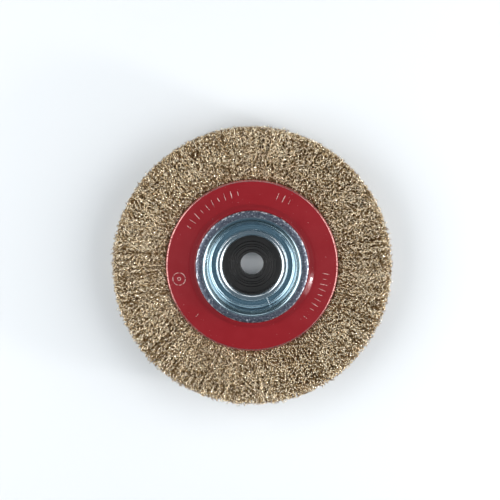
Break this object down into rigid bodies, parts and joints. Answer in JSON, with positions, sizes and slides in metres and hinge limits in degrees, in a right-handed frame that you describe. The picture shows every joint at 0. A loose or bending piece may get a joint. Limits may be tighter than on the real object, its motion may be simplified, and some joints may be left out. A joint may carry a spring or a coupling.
{
  "type": "bench grinder wire wheel",
  "caption": "Crimped-wire wheel with pressed side plates, a rolled hub sleeve and nested reducing bushes in its arbor hole, lying flat.",
  "frame": {"origin": "centre of the wheel, on its axis, midway between its faces", "axes": "+Z along the wheel's axis, out of the front face (the face with the deep cup and the beaded arbor hole); +X and +Y in the plane of the wheel"},
  "size_m": [0.15, 0.15, 0.025],
  "materials": {
    "wire": "brass-coated crimped steel wire",
    "side_plate": "red enamel, satin",
    "zinc": "blue-white zinc plate",
    "core_rod": "bare steel rod",
    "bush": "brown-black moulded plastic"
  },
  "bodies": {
    "wheel": {"front_side_plate": "side_plate", "rear_side_plate": "side_plate", "hub_sleeve": "zinc", "front_bore_cup": "zinc", "rear_bore_cup": "zinc", "rear_wire_row": "wire", "rear_middle_wire_row": "wire", "middle_wire_row": "wire", "front_middle_wire_row": "wire", "front_wire_row": "wire", "rear_core_ring": "core_rod", "rear_middle_core_ring": "core_rod", "middle_core_ring": "core_rod", "front_middle_core_ring": "core_rod", "front_core_ring": "core_rod"},
    "bush_25": {"reducing_bush_25": "bush"},
    "bush_22": {"reducing_bush_22": "bush"},
    "bush_20": {"reducing_bush_20": "bush"},
    "bush_16": {"reducing_bush_16": "bush"},
    "bush_13": {"reducing_bush_13": "bush"}
  },
  "joints": [
    {"name": "bush_25_slide", "type": "slide", "parent": "wheel", "child": "bush_25", "axis": [0, 0, 1], "range_m": [0, 0.03]},
    {"name": "bush_22_slide", "type": "slide", "parent": "bush_25", "child": "bush_22", "axis": [0, 0, 1], "range_m": [0, 0.009]},
    {"name": "bush_20_slide", "type": "slide", "parent": "bush_22", "child": "bush_20", "axis": [0, 0, 1], "range_m": [0, 0.009]},
    {"name": "bush_16_slide", "type": "slide", "parent": "bush_20", "child": "bush_16", "axis": [0, 0, 1], "range_m": [0, 0.009]},
    {"name": "bush_13_slide", "type": "slide", "parent": "bush_16", "child": "bush_13", "axis": [0, 0, 1], "range_m": [0, 0.009]}
  ]
}
